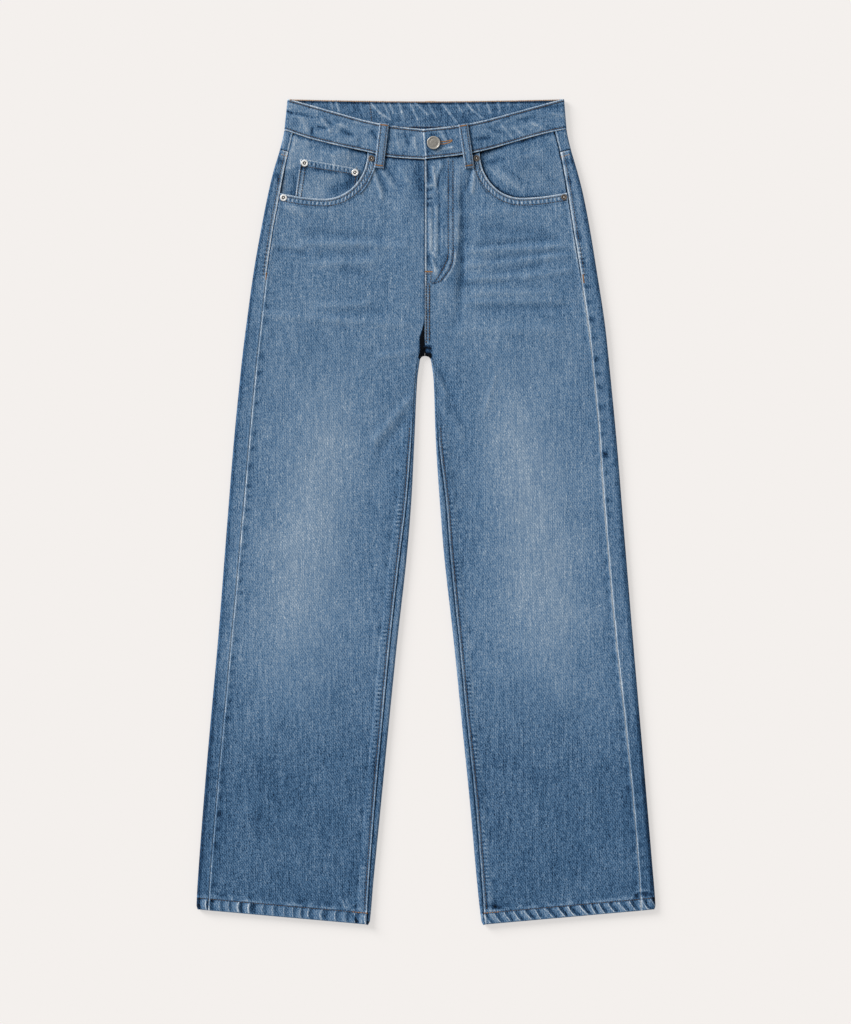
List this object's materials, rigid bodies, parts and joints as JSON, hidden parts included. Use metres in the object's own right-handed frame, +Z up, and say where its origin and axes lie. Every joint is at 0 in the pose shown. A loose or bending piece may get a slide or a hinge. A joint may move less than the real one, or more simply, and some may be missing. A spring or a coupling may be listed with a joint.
{
  "type": "wide leg jeans",
  "caption": "Washed denim wide leg jeans laid flat on their back, with fly, curved front pockets, coin pocket, back yoke, patch pockets, belt loops, tack button and rivets.",
  "frame": {"origin": "on the floor under the middle of the garment's outline", "axes": "+Y towards the waist, +X towards the wearer's left, +Z up out of the front of the jeans"},
  "size_m": [0.5968, 1.072, 0.0124],
  "materials": {
    "denim": "washed mid-blue twill, faded along the thighs and seams",
    "button_metal": "dull antique nickel",
    "rivet_nickel": "worn bright nickel",
    "rivet_copper": "dark aged copper"
  },
  "bodies": {
    "root": {"back_left": "denim", "back_pocket_left": "denim", "back_pocket_right": "denim", "back_right": "denim", "belt_loop_back_centre": "denim", "belt_loop_back_left": "denim", "belt_loop_back_right": "denim", "belt_loop_front_left": "denim", "belt_loop_front_right": "denim", "coin_pocket": "denim", "fly_button": "button_metal", "front_left": "denim", "front_right": "denim", "pocket_facing_left": "denim", "pocket_facing_right": "denim", "rivet_coin_inner": "rivet_nickel", "rivet_coin_outer": "rivet_nickel", "rivet_mouth_inner_left": "rivet_copper", "rivet_mouth_inner_right": "rivet_copper", "rivet_mouth_outer_left": "rivet_copper", "rivet_mouth_outer_right": "rivet_nickel", "waistband": "denim", "yoke_left": "denim", "yoke_right": "denim"}
  },
  "joints": []
}
